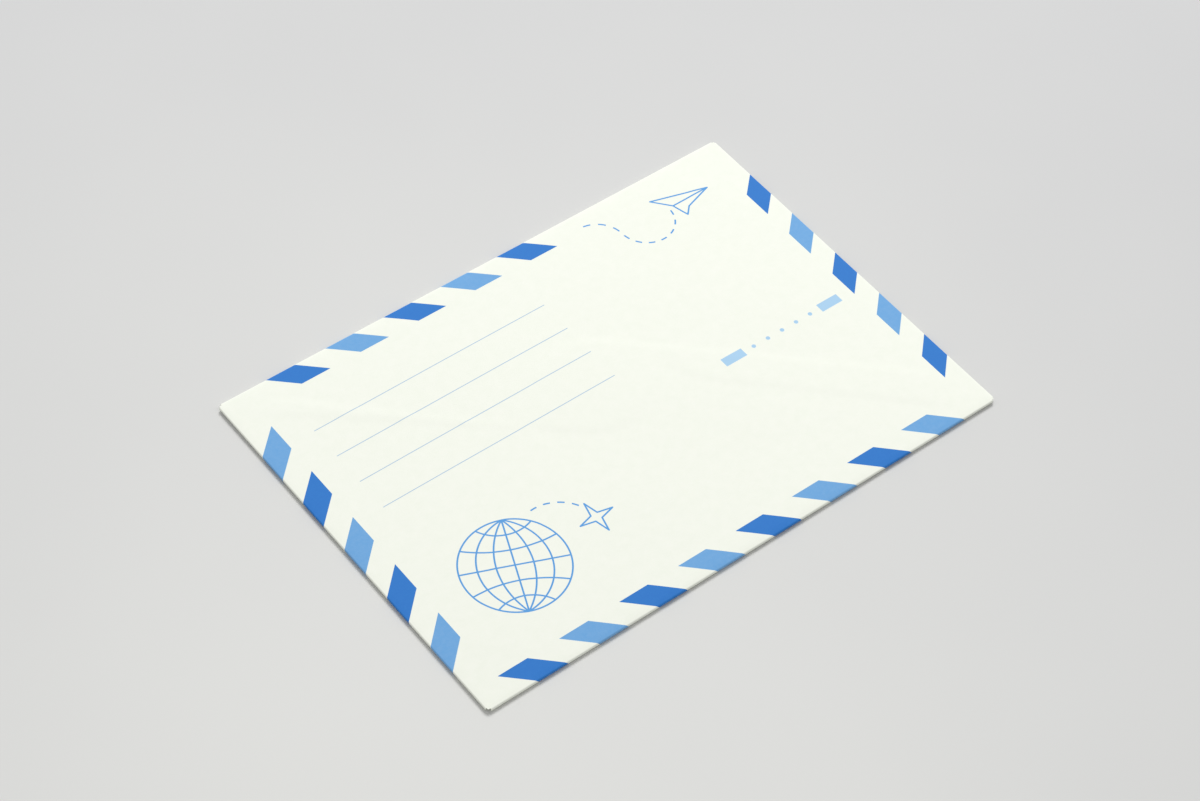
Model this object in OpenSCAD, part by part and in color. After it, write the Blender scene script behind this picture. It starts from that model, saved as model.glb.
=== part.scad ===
// Airmail envelope, cut, folded and glued from one sheet of paper.
// It lies on its closing flap with the printed front up.
// X runs along the long edges, Y up the front and Z out of it.
// The origin is under the middle of the envelope, on what it lies on.

/* [Front] */
// Width of the front, over the two side folds
face_w = 162; // [140:1:190]
// Height of the front, from the bottom fold to the closing fold
face_h = 114; // [100:1:130]

/* [Paper] */
// Thickness of the paper
paper_t = 0.13; // [0.1:0.01:0.25]
// Room that the empty pocket keeps between the front and the glued flaps
pocket_gap = 0.5; // [0.3:0.05:1]
// How far the closing flap springs away from the bottom flap
spring_gap = 0.15; // [0.05:0.05:0.6]
// Radius of the corners of the front
corner_r = 0.3; // [0.1:0.1:0.5]
// Length of fold that is cut away beside each round corner
corner_clear = 0.15; // [0.1:0.05:1.5]

/* [Side flaps] */
// How far the side flaps reach in from the side folds
side_reach = 60; // [52:1:66]
// Radius of the side flaps' tips
side_tip_r = 11; // [4:1:18]
// How far a side flap narrows at its shoulder
side_shoulder_in = 2; // [1:0.5:4]
// Distance of a side flap's shoulder from its fold
side_shoulder_up = 9; // [7:0.5:12]

/* [Bottom flap] */
// How far the bottom flap reaches up from the bottom fold
bottom_reach = 79; // [70:1:90]
// Radius of the bottom flap's tip
bottom_tip_r = 15; // [6:1:22]
// How far the bottom flap narrows at each shoulder
bottom_shoulder_in = 5; // [2:0.5:7]
// Distance of the bottom flap's shoulders from the bottom fold
bottom_shoulder_up = 15; // [10:1:22]

/* [Closing flap] */
// How far the closing flap reaches down from the closing fold
closing_reach = 65; // [50:1:80]
// Radius of the closing flap's tip
closing_tip_r = 17; // [6:1:24]
// How far the closing flap narrows at each shoulder
closing_shoulder_in = 3; // [1:0.5:4]
// Distance of the closing flap's shoulders from the closing fold
closing_shoulder_up = 6; // [5:0.5:12]
// Radius of the shoulders of all flaps
shoulder_r = 8; // [2:1:12]

/* [Striped border] */
// Depth of the border on the front
band_d = 6.6; // [4:0.1:9]
// How far the border runs on behind the folds
band_wrap = 1.5; // [0.8:0.1:4]
// How far the print sits to the right of the folds
print_shift = 0.7; // [0:0.05:1.5]
// Length of a stripe on the long edges
long_stripe = 8.8; // [6:0.1:9]
// Spacing of the stripes on the long edges
long_pitch = 18.2; // [17:0.1:21]
// Lean of the stripes on the long edges, in length for each depth
long_lean = 1.05; // [0.8:0.01:1.3]
// Distance of the first bottom stripe from the left fold
bottom_first = 14.8; // [9:0.1:18]
// Distance of the first top stripe from the left fold
top_first = 14.1; // [9:0.1:18]
// Length of a stripe on the short edges
short_stripe = 8.9; // [6:0.1:10]
// Spacing of the stripes on the short edges
short_pitch = 17.7; // [16:0.1:19]
// Lean of the stripes on the short edges, in length for each depth
short_lean = 0.95; // [0.7:0.01:1.2]
// Distance of the first right-hand stripe from the closing fold
right_first = 15.6; // [9:0.1:18]
// Distance of the first left-hand stripe from the closing fold
left_first = 20.6; // [16:0.1:24]
// Number of stripes along the top, which leaves the stamp's corner bare
top_stripes = 5; // [3:1:6]

/* [Address lines] */
// Number of address lines
line_n = 4; // [3:1:5]
// Distance between two address lines
line_pitch = 9.9; // [7:0.1:11]
// Distance of the first address line from the closing fold
line_top = 21.2; // [15:0.1:26]
// Distance of the address lines' left end from the left fold
line_left = 15; // [12:0.5:30]
// Length of an address line
line_l = 72.3; // [50:0.1:90]
// Width of an address line
rule_w = 0.25; // [0.15:0.05:0.6]

/* [Code row] */
// Distance of the row's left end from the right fold
row_left = 49.4; // [45:0.1:56]
// Distance of the row's middle from the closing fold
row_top = 64.1; // [50:0.1:80]
// Length of the row over its two bars
row_l = 39.4; // [36:0.1:42]
// Length of a bar
bar_l = 6.8; // [4:0.1:8]
// Height of a bar
bar_h = 2.8; // [1.5:0.1:4]
// Number of dots between the bars
dot_n = 5; // [3:1:5]
// Spacing of the dots
dot_pitch = 4.8; // [3:0.1:5]
// Diameter of a dot
dot_d = 1.2; // [0.8:0.1:2.4]

/* [Globe drawing] */
// Width of the lines of both drawings
line_w = 0.45; // [0.2:0.05:0.6]
// Distance of the globe's middle from the left fold
globe_x = 30.5; // [27:0.5:36]
// Distance of the globe's middle from the bottom fold
globe_y = 30; // [27:0.5:34]
// Radius of the globe
globe_r = 14; // [8:0.5:15]
// Number of meridians on each side of the globe's middle
meridian_n = 2; // [1:1:3]
// Lean of the globe's axis
globe_lean = 23; // [0:1:30]
// Distance of the star from the globe
star_away = 11; // [8:0.5:14]
// Length of the star's points
star_r = 5; // [3:0.5:6]
// Angle at which the route leaves the globe
route_start = 100; // [90:1:115]
// Angle at which the route reaches the star
route_end = 24; // [15:1:40]
// Number of dashes between the globe and the star
route_dashes = 4; // [3:1:8]

/* [Dart drawing] */
// Distance of the paper dart's nose from the right fold
dart_x = 13; // [12:0.5:18]
// Distance of the paper dart's nose from the closing fold
dart_y = 13; // [12:0.5:17]
// Length of the paper dart
dart_l = 16; // [8:0.5:17]
// Radius of the dart's trail
trail_r = 8; // [5:0.5:9]
// Gap between the dart and its trail
tail_gap = 1.5; // [0.5:0.5:3]
// Number of dashes in a half turn of the trail
dash_n = 7; // [5:1:9]

/* [Hidden] */
$fn = 72;

paper_colour = [0.965, 0.97, 0.94];
dark_blue = [0.14, 0.43, 0.78];
light_blue = [0.4, 0.63, 0.84];
line_blue = [0.42, 0.65, 0.88];
pale_blue = [0.69, 0.83, 0.94];

// Heights of the layers, from the closing flap up to the front
bottom_flap_z = paper_t + spring_gap;
side_flap_z = bottom_flap_z + paper_t;
front_z = side_flap_z + paper_t + pocket_gap;
top_z = front_z + paper_t;

// Outer radius of each fold, which joins the front to its flap
side_fold_r = (top_z - side_flap_z) / 2;
bottom_fold_r = (top_z - bottom_flap_z) / 2;
closing_fold_r = top_z / 2;

// The folds stop short of the corners, so that neighbouring folds stay clear
corner_cut = closing_fold_r + corner_r + corner_clear;

half_w = face_w / 2;
half_h = face_h / 2;

// Sides of the front, in the order that quarter turns reach them
BOTTOM = 0;
RIGHT = 1;
TOP = 2;
LEFT = 3;

// Inks of the border, in the order that they alternate
DARK = 0;
LIGHT = 1;

// How far a printed shape's prism stands out of the sheet that it colours
print_over = 0.02;
// How far the border's prisms reach out past the folds
bleed = 1;

function unit(v) = v / norm(v);

// Number of stripes that fit on an edge and leave its last corner bare
function stripe_count(edge, first, stripe, pitch) =
    floor((edge - first - stripe - band_d) / pitch) + 1;

// Convex outline with a true arc of its own radius at each corner
module rounded_outline(points, radii) {
    n = len(points);
    backs = [for (i = [0:n - 1]) unit(points[(i + n - 1) % n] - points[i])];
    aheads = [for (i = [0:n - 1]) unit(points[(i + 1) % n] - points[i])];
    halves = [for (i = [0:n - 1]) acos(backs[i] * aheads[i]) / 2];
    starts = [for (i = [0:n - 1]) points[i] + backs[i] * radii[i] / tan(halves[i])];
    ends = [for (i = [0:n - 1]) points[i] + aheads[i] * radii[i] / tan(halves[i])];
    polygon([
        for (i = [0:n - 1])
            each radii[i] == 0 ? [points[i]] : [starts[i], ends[i]]
    ]);
    for (i = [0:n - 1])
        if (radii[i] > 0)
            intersection() {
                translate(points[i] + unit(backs[i] + aheads[i]) * radii[i] / sin(halves[i]))
                    circle(radii[i]);
                polygon([starts[i], points[i], ends[i]]);
            }
}

// Places what is drawn along the bottom fold, with +Y inwards, at one side of the front
module at_fold(side) {
    out = side % 2 == 0 ? half_h : half_w;
    rotate(90 * side) translate([0, -out, 0]) children();
}

// Half-round fold between the front and a flap
module fold(length, fold_r) {
    translate([0, fold_r, top_z - fold_r])
        rotate([90, 0, 90])
            linear_extrude(length, center = true)
                difference() {
                    circle(fold_r);
                    circle(fold_r - paper_t);
                    translate([0, -fold_r]) square(2 * fold_r);
                }
}

// Flap with two shoulders and a round tip, that starts where its fold ends
module flap(half_base, fold_r, flap_z, shoulder, reach, tip_r) {
    corner = [half_base - shoulder[0], shoulder[1]];
    rise = reach - tip_r - corner[1];
    slope = atan(rise / corner[0]) + asin(tip_r / norm([corner[0], rise]));
    apex = [0, corner[1] + corner[0] * tan(slope)];
    translate([0, 0, flap_z])
        linear_extrude(paper_t)
            rounded_outline(
                [[-half_base, fold_r], [half_base, fold_r], corner, apex, [-corner[0], corner[1]]],
                [0, 0, shoulder_r, tip_r, shoulder_r]
            );
}

module folded_flap(side, fold_r, flap_z, shoulder, reach, tip_r) {
    half_base = (side % 2 == 0 ? half_w : half_h) - corner_cut;
    at_fold(side) {
        fold(2 * half_base, fold_r);
        flap(half_base, fold_r, flap_z, shoulder, reach, tip_r);
    }
}

module front_panel() {
    corners = [
        [side_fold_r - half_w, bottom_fold_r - half_h],
        [half_w - side_fold_r, bottom_fold_r - half_h],
        [half_w - side_fold_r, half_h - closing_fold_r],
        [side_fold_r - half_w, half_h - closing_fold_r]
    ];
    translate([0, 0, front_z])
        linear_extrude(paper_t)
            rounded_outline(corners, [corner_r, corner_r, corner_r, corner_r]);
}

// The whole sheet after folding: the side flaps lie under the front, the bottom flap
// is glued over them, and the closing flap lies loose over it
module folded_sheet() {
    side_shoulder = [side_shoulder_in, side_shoulder_up];
    bottom_shoulder = [bottom_shoulder_in, bottom_shoulder_up];
    closing_shoulder = [closing_shoulder_in, closing_shoulder_up];
    front_panel();
    for (side = [LEFT, RIGHT])
        folded_flap(side, side_fold_r, side_flap_z, side_shoulder, side_reach, side_tip_r);
    folded_flap(BOTTOM, bottom_fold_r, bottom_flap_z, bottom_shoulder, bottom_reach, bottom_tip_r);
    folded_flap(TOP, closing_fold_r, 0, closing_shoulder, closing_reach, closing_tip_r);
}

// Leaning band across a fold, from one distance inside the fold to another
module leaning_band(length, lean, from, to) {
    polygon([
        [-lean * from, from],
        [length - lean * from, from],
        [length - lean * to, to],
        [-lean * to, to]
    ]);
}

// Prism of one stripe: it leans one way on the front and the other way behind the fold
module stripe(length, lean, depth, fold_r, flap_z) {
    fold_z = top_z - fold_r;
    translate([0, 0, fold_z])
        linear_extrude(fold_r + print_over) leaning_band(length, lean, -bleed, depth);
    translate([0, 0, flap_z - print_over])
        linear_extrude(fold_z - flap_z + print_over)
            leaning_band(length, -lean, -bleed, band_wrap);
}

// Stripes of one ink along a side, counted from the left or from the top
module stripe_row(side, ink, n, first, pitch, length, lean, depth, fold_r, flap_z) {
    half = side % 2 == 0 ? half_w : half_h;
    at_fold(side)
        for (i = [0:n - 1])
            if (i % 2 == ink) {
                start = first + pitch * i - half;
                x = side == BOTTOM || side == LEFT ? start : -start - length;
                translate([x, 0, 0]) stripe(length, lean, depth, fold_r, flap_z);
            }
}

module border(ink) {
    other = 1 - ink;
    bottom_n = stripe_count(face_w, bottom_first, long_stripe, long_pitch);
    right_n = stripe_count(face_h, right_first, short_stripe, short_pitch);
    left_n = stripe_count(face_h, left_first, short_stripe, short_pitch);
    stripe_row(BOTTOM, ink, bottom_n, bottom_first, long_pitch, long_stripe, long_lean,
        band_d, bottom_fold_r, bottom_flap_z);
    stripe_row(TOP, ink, top_stripes, top_first, long_pitch, long_stripe, long_lean,
        band_d, closing_fold_r, 0);
    stripe_row(RIGHT, ink, right_n, right_first, short_pitch, short_stripe, short_lean,
        band_d - print_shift, side_fold_r, side_flap_z);
    stripe_row(LEFT, other, left_n, left_first, short_pitch, short_stripe, short_lean,
        band_d + print_shift, side_fold_r, side_flap_z);
}

// Prism of a flat drawing on the front
module on_front() {
    translate([0, 0, front_z - print_over])
        linear_extrude(paper_t + 2 * print_over) children();
}

module line_end() {
    circle(d = line_w, $fn = 20);
}

// Printed line from one point to another, with round ends
module stroke(from, to) {
    run = to - from;
    translate(from) {
        rotate(atan2(run[1], run[0]))
            translate([0, -line_w / 2]) square([norm(run), line_w]);
        line_end();
    }
    translate(to) line_end();
}

module closed_strokes(points) {
    for (i = [0:len(points) - 1]) stroke(points[i], points[(i + 1) % len(points)]);
}

module ring_line(r) {
    difference() {
        circle(r + line_w / 2);
        circle(r - line_w / 2);
    }
}

// Dashes along an arc, half of it printed and half of it bare
module dashed_arc(r, from, to, n) {
    step = (to - from) / n;
    far = 2 * r;
    for (i = [0:n - 1]) {
        a = from + step * (i + 0.25);
        b = a + step / 2;
        intersection() {
            ring_line(r);
            polygon([[0, 0], far * [cos(a), sin(a)], far * [cos(b), sin(b)]]);
        }
    }
}

module address_lines() {
    for (i = [0:line_n - 1])
        translate([line_left - half_w, half_h - line_top - line_pitch * i - rule_w / 2])
            square([line_l, rule_w]);
}

module code_row() {
    translate([half_w - row_left, half_h - row_top]) {
        for (x = [0, row_l - bar_l])
            translate([x, -bar_h / 2]) square([bar_l, bar_h]);
        for (i = [0:dot_n - 1])
            translate([row_l / 2 + dot_pitch * (i - (dot_n - 1) / 2), 0]) circle(d = dot_d);
    }
}

// Globe whose meridians and parallels are arcs, spaced evenly on its axis and equator
module globe() {
    ring_line(globe_r);
    intersection() {
        circle(globe_r);
        union() {
            for (i = [1:meridian_n]) {
                e = globe_r * i / (meridian_n + 1);
                r = (globe_r * globe_r + e * e) / (2 * e);
                for (s = [-1, 1]) translate([s * (e - r), 0]) ring_line(r);
            }
            for (latitude = [30, 60]) {
                p = globe_r * latitude / 90;
                c = (globe_r * globe_r - p * p) / (2 * (globe_r * sin(latitude) - p));
                for (s = [-1, 1]) translate([0, s * c]) ring_line(c - p);
            }
            stroke([0, -globe_r], [0, globe_r]);
            stroke([-globe_r, 0], [globe_r, 0]);
        }
    }
}

// Star with four points, as on a compass
module compass_star() {
    waist = 0.28;
    closed_strokes([
        for (i = [0:7]) star_r * (i % 2 == 0 ? 1 : waist) * [cos(45 * i), sin(45 * i)]
    ]);
}

module globe_drawing() {
    translate([globe_x - half_w, globe_y - half_h]) {
        rotate(-globe_lean) globe();
        translate([globe_r + star_away, 0]) {
            compass_star();
            translate([-star_away, 0])
                dashed_arc(star_away, route_start, route_end, route_dashes);
        }
    }
}

// Paper dart, drawn with its nose at the origin, and its trail
module dart_drawing() {
    wing = dart_l * [-1, 0.3];
    spine = dart_l * [-0.74, 0];
    keel = dart_l * [-0.66, -0.3];
    far_wing = dart_l * [-0.52, -0.16];
    tail = spine[0] - tail_gap;
    translate([half_w - dart_x, half_h - dart_y]) {
        closed_strokes([[0, 0], wing, spine]);
        closed_strokes([[0, 0], spine, keel, far_wing]);
        translate([tail - trail_r, 0]) dashed_arc(trail_r, 0, -180, dash_n);
        translate([tail - 3 * trail_r, 0]) dashed_arc(trail_r, 0, 90, floor(dash_n / 2));
    }
}

module form_print() {
    on_front() {
        address_lines();
        code_row();
    }
}

module drawings() {
    on_front() {
        globe_drawing();
        dart_drawing();
    }
}

module envelope() {
    color(paper_colour)
        difference() {
            folded_sheet();
            border(DARK);
            border(LIGHT);
            drawings();
            form_print();
        }
    color(dark_blue)
        intersection() {
            folded_sheet();
            border(DARK);
        }
    color(light_blue)
        intersection() {
            folded_sheet();
            border(LIGHT);
        }
    color(line_blue)
        intersection() {
            folded_sheet();
            drawings();
        }
    color(pale_blue)
        intersection() {
            folded_sheet();
            form_print();
        }
}

envelope();
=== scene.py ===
# %% [markdown]
# # An airmail envelope, folded from one sheet
#
# A real envelope starts as a flat blank: a rectangle with four flaps. The blank is printed while it
# is still flat, then folded and glued. The mesh could be modelled folded from the start, but then
# every stripe would have to be fitted round its fold. So this lesson works in the printer's order.
# The blank is drawn in the plane, the print is cut into it as fields of faces, and a folding rule
# then carries every point to its place in space. The stripes run round the folds by themselves.
#
# The frame comes first. It is the solid of the same envelope, and it fixes the outer size and the
# place.

import math

import bpy
import numpy as np
from mathutils import Matrix, Vector
from mathutils.geometry import delaunay_2d_cdt
from mathutils.kdtree import KDTree


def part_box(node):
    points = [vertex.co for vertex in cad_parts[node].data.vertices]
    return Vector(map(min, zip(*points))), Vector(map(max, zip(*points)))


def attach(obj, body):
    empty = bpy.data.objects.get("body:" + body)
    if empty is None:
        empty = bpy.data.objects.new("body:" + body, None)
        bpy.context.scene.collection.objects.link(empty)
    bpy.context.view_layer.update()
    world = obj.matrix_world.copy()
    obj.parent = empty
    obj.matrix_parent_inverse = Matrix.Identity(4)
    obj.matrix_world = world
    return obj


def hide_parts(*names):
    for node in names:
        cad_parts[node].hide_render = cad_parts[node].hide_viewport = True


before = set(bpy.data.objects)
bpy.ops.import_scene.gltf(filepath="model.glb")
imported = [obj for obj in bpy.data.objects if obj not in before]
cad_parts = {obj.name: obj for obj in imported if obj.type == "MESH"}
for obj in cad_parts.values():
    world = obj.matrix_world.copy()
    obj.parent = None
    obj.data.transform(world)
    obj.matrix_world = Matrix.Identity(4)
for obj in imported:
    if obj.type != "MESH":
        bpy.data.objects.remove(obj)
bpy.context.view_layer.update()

# %% [markdown]
# ## Sizes
#
# All sizes of the envelope are in millimetres, and `MM` turns them into Blender's metres when the
# mesh is made. The outer size is read from the frame. The paper's thickness and the gaps between
# its layers are the solid's own values, and every height and fold radius follows from them. Only
# the glue is new: it holds the bottom flap a fiftieth of a millimetre off the side flaps. `TINY` is
# the distance below which two points count as one.

# %% Outer size, layers and folds
MM = 0.001
low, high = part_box("envelope")
FACE_W = round((high.x - low.x) / MM, 1)
FACE_H = round((high.y - low.y) / MM, 1)
TOP_Z = round((high.z - low.z) / MM, 2)
HALF_W, HALF_H = FACE_W / 2, FACE_H / 2

PAPER_T = 0.13
SPRING_GAP = 0.15
CORNER_CLEAR = 0.15
CORNER_R = 0.3
GLUE = 0.02

CLOSING_Z = PAPER_T / 2
BOTTOM_Z = CLOSING_Z + PAPER_T + SPRING_GAP
SIDE_Z = BOTTOM_Z + PAPER_T + GLUE
FRONT_Z = TOP_Z - PAPER_T / 2
CORNER_CUT = TOP_Z / 2 + CORNER_R + CORNER_CLEAR
TINY = 1e-4
print("front", FACE_W, "x", FACE_H, "mm, folds are", TOP_Z, "mm high")


# %% [markdown]
# ## The four folds
#
# Each side of the front has a fold and a flap. A fold is a half-round bend, so in the middle of the
# paper's thickness it is as long as half a circle. Points beside the front are named by two
# numbers: `along` the fold, and `out` from the line where the bend starts. One small class holds
# what differs from side to side.

# %% One side of the front
class Side:
    """One side of the front: half its length, how far out its edge lies, its bend and its axes."""

    def __init__(self, name, quarter_turns, flap_z):
        self.name = name
        is_long = quarter_turns % 2 == 0
        self.half, self.edge = (HALF_W, HALF_H) if is_long else (HALF_H, HALF_W)
        self.bend_r = (FRONT_Z - flap_z) / 2
        self.fold_r = self.bend_r + PAPER_T / 2
        self.bend_length = math.pi * self.bend_r
        self.start = self.edge - self.fold_r
        self.base = self.half - CORNER_CUT
        angle = quarter_turns * math.pi / 2
        self.along_axis = np.array([math.cos(angle), math.sin(angle)])
        self.out_axis = np.array([math.sin(angle), -math.cos(angle)])

    def on_blank(self, along, out):
        """Points of the blank, from distances along the fold and out from the bend's start."""
        along, out = np.asarray(along, float), np.asarray(out, float)
        return along[..., None] * self.along_axis + (self.start + out)[..., None] * self.out_axis


BOTTOM = Side("bottom", 0, BOTTOM_Z)
RIGHT = Side("right", 1, SIDE_Z)
TOP = Side("top", 2, CLOSING_Z)
LEFT = Side("left", 3, SIDE_Z)
SIDES = [BOTTOM, RIGHT, TOP, LEFT]
for side in SIDES:
    print(f"{side.name} bend: {side.bend_r:.3f} mm in radius, {side.bend_length:.2f} mm long")

# %% [markdown]
# ## Outlines with round corners
#
# Die cut paper has no sharp corners, so one helper rounds a convex outline. At each corner it steps
# back along both edges to where a circle of the wanted radius touches them, and puts points along
# the arc between. A second helper splits long edges, because the sheet will bend a little
# everywhere and needs points to bend at.


# %% Helpers for outlines
ARC_STEP = 0.5
FINE_STEP = 0.15


def unit(vector):
    return vector / np.linalg.norm(vector)


def arc(centre, radius, start, end, step=ARC_STEP):
    """Points along an arc, from one angle to another in degrees, at most a step apart."""
    count = max(3, math.ceil(abs(math.radians(end - start)) * radius / step) + 1)
    angles = np.radians(np.linspace(start, end, count))
    return np.stack([np.cos(angles), np.sin(angles)], 1) * radius + centre


def rounded(points, radii):
    """A convex outline, anticlockwise, with each corner rounded to its own radius."""
    points = np.asarray(points, float)
    found = []
    for i, (corner, radius) in enumerate(zip(points, radii)):
        if radius == 0:
            found.append(corner[None])
            continue
        back = unit(points[i - 1] - corner)
        ahead = unit(points[(i + 1) % len(points)] - corner)
        half = math.acos(np.dot(back, ahead)) / 2
        centre = corner + unit(back + ahead) * radius / math.sin(half)
        first = corner + back * radius / math.tan(half) - centre
        last = corner + ahead * radius / math.tan(half) - centre
        start = math.degrees(math.atan2(first[1], first[0]))
        turn = (math.degrees(math.atan2(last[1], last[0])) - start) % 360
        found.append(arc(centre, radius, start, start + turn))
    return np.concatenate(found)


def split(outline, step):
    """The same outline with no edge longer than step."""
    found = []
    for a, b in zip(outline, np.roll(outline, -1, 0)):
        count = max(1, math.ceil(np.linalg.norm(b - a) / step))
        found.append(a + (b - a) * np.arange(count)[:, None] / count)
    return np.concatenate(found)


card = rounded([(0, 0), (9, 0), (9, 6), (0, 6)], [2, 2, 2, 2])
print("a card with four round corners has", len(card), "points")


# %% [markdown]
# ## The flaps
#
# A flap is a triangle with a round tip and two soft shoulders. Its straight edges leave the
# shoulders and touch the tip's circle, which fixes their slope. The sizes are those of the solid.
# They are measured on the folded envelope, from the outside of the fold, so the bend's length is
# put in between when a flap is laid out on the flat blank.

# %% Flap sizes and outlines
SHOULDER_R = 8
FLAPS = {
    "side": dict(shoulder=(2, 9), reach=60, tip_r=11),
    "bottom": dict(shoulder=(5, 15), reach=79, tip_r=15),
    "closing": dict(shoulder=(3, 6), reach=65, tip_r=17),
}


def flap_outline(side, shoulder, reach, tip_r):
    """A folded flap seen from the front: distances along the fold, and in from its outside."""
    corner = np.array([side.base - shoulder[0], shoulder[1]])
    rise = reach - tip_r - corner[1]
    slope = math.atan(rise / corner[0]) + math.asin(tip_r / math.hypot(corner[0], rise))
    apex = (0, corner[1] + corner[0] * math.tan(slope))
    points = [(-side.base, side.fold_r), (side.base, side.fold_r), corner, apex, corner * (-1, 1)]
    return rounded(points, [0, 0, SHOULDER_R, tip_r, SHOULDER_R])


for side, kind in zip(SIDES, ["bottom", "side", "closing", "side"]):
    side.flap = flap_outline(side, **FLAPS[kind])
    print(side.name, "flap reaches", round(side.flap[:, 1].max(), 1), "mm")


# %% [markdown]
# ## The blank
#
# The outline of the blank goes once round the front. At each side it steps out where the fold
# begins, follows the flap, and steps back. At each corner it is the front's own round corner.

# %% Outline of the flat blank
def blank_outline():
    found = []
    for i, side in enumerate(SIDES):
        out = side.flap[:, 1] - side.fold_r + side.bend_length
        found.append(side.on_blank([-side.base], [0]))
        flap = side.on_blank(side.flap[:, 0], out)
        found.append(np.concatenate([flap[:1], flap[:1:-1], flap[1:2]]))
        found.append(side.on_blank([side.base], [0]))
        after = SIDES[(i + 1) % 4]
        corner = side.start * side.out_axis + after.start * after.out_axis
        centre = corner - CORNER_R * (side.out_axis + after.out_axis)
        facing = math.degrees(math.atan2(side.out_axis[1], side.out_axis[0]))
        found.append(arc(centre, CORNER_R, facing, facing + 90, FINE_STEP))
    return np.concatenate(found)


blank = blank_outline()
print("blank:", len(blank), "points,", np.ptp(blank, axis=0).round(1), "mm")

# %% [markdown]
# ## The airmail border
#
# The border is a row of leaning stripes in two blues on each side. A stripe is a parallelogram on
# the flat blank. It starts inside the front, crosses the bend and ends a little way onto the flap,
# so after folding it shows on the front, on the fold and on the back. Print could also be a mask in
# the material. Here it is a field of faces, because the edge of a face stays sharp however close
# the camera comes, and any other tool that reads the mesh sees it too.

# %% Border sizes
BAND_D = 6.6
BAND_WRAP = 1.5
PRINT_SHIFT = 0.7
LONG_EDGE = dict(length=8.8, pitch=18.2, lean=1.05)
SHORT_EDGE = dict(length=8.9, pitch=17.7, lean=0.95)


def stripe(side, start, length, lean, depth):
    """One stripe, from its depth inside the front to its end on the flap."""
    inner = side.fold_r - depth
    outer = side.bend_length + BAND_WRAP - side.fold_r
    middle = side.bend_length / 2
    near, far = (start + lean * (out - middle) for out in (inner, outer))
    corners = [(near, inner), (far, outer), (far + length, outer), (near + length, inner)]
    return side.on_blank(*np.array(corners).T)


print("the border is", BAND_D, "mm deep on the front and", BAND_WRAP, "mm on the flaps")


# %% The four rows
def stripe_row(side, count, first, length, pitch, lean, depth, from_start):
    """Stripes counted from the left or the top, which is the far end of the top and right sides."""
    found = []
    for i in range(count):
        start = first + pitch * i - side.half
        if not from_start:
            start = -start - length
        found.append(stripe(side, start, length, lean, depth))
    return found


ROWS = [
    (BOTTOM, dict(count=8, first=14.8, depth=BAND_D, from_start=True, **LONG_EDGE)),
    (TOP, dict(count=5, first=14.1, depth=BAND_D, from_start=False, **LONG_EDGE)),
    (RIGHT, dict(count=5, first=15.6, depth=BAND_D - PRINT_SHIFT, from_start=False, **SHORT_EDGE)),
    (LEFT, dict(count=5, first=20.6, depth=BAND_D + PRINT_SHIFT, from_start=True, **SHORT_EDGE)),
]
bottom_row, top_row, right_row, left_row = (stripe_row(side, **sizes) for side, sizes in ROWS)
dark_stripes = bottom_row[::2] + top_row[::2] + right_row[::2] + left_row[1::2]
light_stripes = bottom_row[1::2] + top_row[1::2] + right_row[1::2] + left_row[::2]
print("border:", len(dark_stripes), "dark stripes,", len(light_stripes), "light stripes")

# %% [markdown]
# ## Rules, bars and drawings
#
# The rest of the print is line work, with two bars and a row of dots. Blender's own curves could
# draw the lines, but they would lie on the paper as pieces of their own. Here each line is a narrow
# closed outline, to be cut into the sheet like the stripes: a straight stroke with round ends, or a
# band along an arc. The globe is drawn as old maps are, with meridians and parallels that are arcs
# of circles, evenly spaced on the axis and on the equator.

# %% Strokes and arc bands
LINE_W = 0.45
END_STEP = 0.1


def stroke(a, b):
    """A straight line with round ends."""
    a, b = np.asarray(a, float), np.asarray(b, float)
    turn = math.degrees(math.atan2(*(b - a)[::-1]))
    far_end = arc(b, LINE_W / 2, turn - 90, turn + 90, END_STEP)
    near_end = arc(a, LINE_W / 2, turn + 90, turn + 270, END_STEP)
    return np.concatenate([far_end, near_end])


def strokes(points):
    """Lines from each point to the next, and back to the first."""
    return [stroke(a, b) for a, b in zip(points, np.roll(points, -1, 0))]


def arc_band(centre, radius, start, end):
    """A line along an arc, with square ends."""
    outside = arc(centre, radius + LINE_W / 2, start, end)
    inside = arc(centre, radius - LINE_W / 2, end, start)
    return np.concatenate([outside, inside])


def ring(centre, radius):
    """A circle in two halves, because an outline can't have a hole."""
    return [arc_band(centre, radius, 0, 180), arc_band(centre, radius, 180, 360)]


def dashes(centre, radius, start, end, count):
    """Dashes along an arc, half of it printed and half of it bare."""
    step = (end - start) / count
    starts = [start + step * (i + 0.25) for i in range(count)]
    return [arc_band(centre, radius, a, a + step / 2) for a in starts]


def bar(x, y, width, height):
    return np.array([(x, y), (x + width, y), (x + width, y + height), (x, y + height)], float)


print("a 10 mm stroke has", len(stroke((0, 0), (10, 0))), "points")


# %% Address lines and code row
RULES = dict(count=4, pitch=9.9, from_top=21.2, from_left=15, length=72.3, width=0.25)
CODE_ROW = dict(from_right=49.4, from_top=64.1, length=39.4)
BARS = dict(length=6.8, height=2.8)
DOTS = dict(count=5, pitch=4.8, width=1.2)


def address_lines():
    x = RULES["from_left"] - HALF_W
    heights = [HALF_H - RULES["from_top"] - RULES["pitch"] * i for i in range(RULES["count"])]
    return [bar(x, y - RULES["width"] / 2, RULES["length"], RULES["width"]) for y in heights]


def code_row():
    x, y = HALF_W - CODE_ROW["from_right"], HALF_H - CODE_ROW["from_top"]
    ends = [x, x + CODE_ROW["length"] - BARS["length"]]
    found = [bar(end, y - BARS["height"] / 2, BARS["length"], BARS["height"]) for end in ends]
    for i in range(DOTS["count"]):
        middle = x + CODE_ROW["length"] / 2 + DOTS["pitch"] * (i - (DOTS["count"] - 1) / 2)
        found.append(arc((middle, y), DOTS["width"] / 2, 0, 360, FINE_STEP)[:-1])
    return found


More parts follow.
